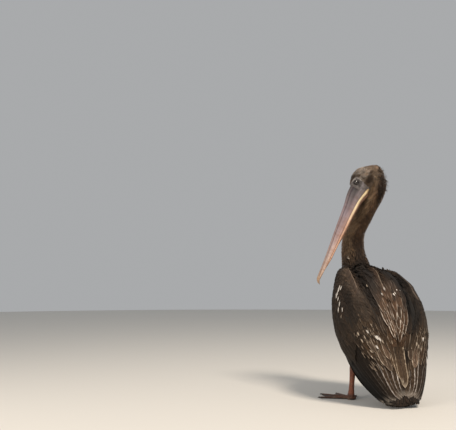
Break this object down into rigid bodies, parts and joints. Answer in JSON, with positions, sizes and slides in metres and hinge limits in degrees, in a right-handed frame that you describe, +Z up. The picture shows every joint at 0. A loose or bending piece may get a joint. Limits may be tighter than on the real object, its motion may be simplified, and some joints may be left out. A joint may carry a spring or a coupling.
{
  "type": "peruvian pelican",
  "caption": "Life-size standing Peruvian pelican with folded wings, head turned over its left shoulder, long hooked bill, throat pouch, webbed feet and tail tip on the floor.",
  "frame": {"origin": "on the floor, at the middle of the whole bird's box seen from above", "axes": "+Z up; the bird faces -Y and its left side is +X, as on its own body"},
  "size_m": [0.3712, 0.339, 0.8319],
  "materials": {
    "plumage": "dark sepia and brown plumage with pale feather edges, soft and matt",
    "flight_feathers": "blackish brown flight feathers, slightly silky",
    "bill_horn": "grey lilac horn, satin, darker at the root",
    "lower_bill_horn": "cream horn fading to pinkish towards the tip, satin",
    "nail_horn": "brownish horn, satin",
    "pouch_skin": "dark bare skin, finely wrinkled, matt",
    "leg_skin": "reddish brown scaly skin, greyer on the webs",
    "eye": "dark wet eye, glossy",
    "claw_horn": "dark horn, satin"
  },
  "bodies": {
    "root": {"trunk": "plumage", "neck_lower": "plumage", "neck_upper": "plumage", "head": "plumage", "left_wing": "plumage", "right_wing": "plumage", "left_scapulars": "plumage", "right_scapulars": "plumage", "left_thigh": "plumage", "right_thigh": "plumage", "left_primaries": "flight_feathers", "right_primaries": "flight_feathers", "tail": "flight_feathers", "upper_bill": "bill_horn", "lower_bill": "lower_bill_horn", "bill_nail": "nail_horn", "throat_pouch": "pouch_skin", "left_shank": "leg_skin", "right_shank": "leg_skin", "left_foot": "leg_skin", "right_foot": "leg_skin", "left_eye": "eye", "right_eye": "eye", "left_hind_claw": "claw_horn", "left_inner_claw": "claw_horn", "left_middle_claw": "claw_horn", "left_outer_claw": "claw_horn", "right_hind_claw": "claw_horn", "right_inner_claw": "claw_horn", "right_middle_claw": "claw_horn", "right_outer_claw": "claw_horn"}
  },
  "joints": []
}
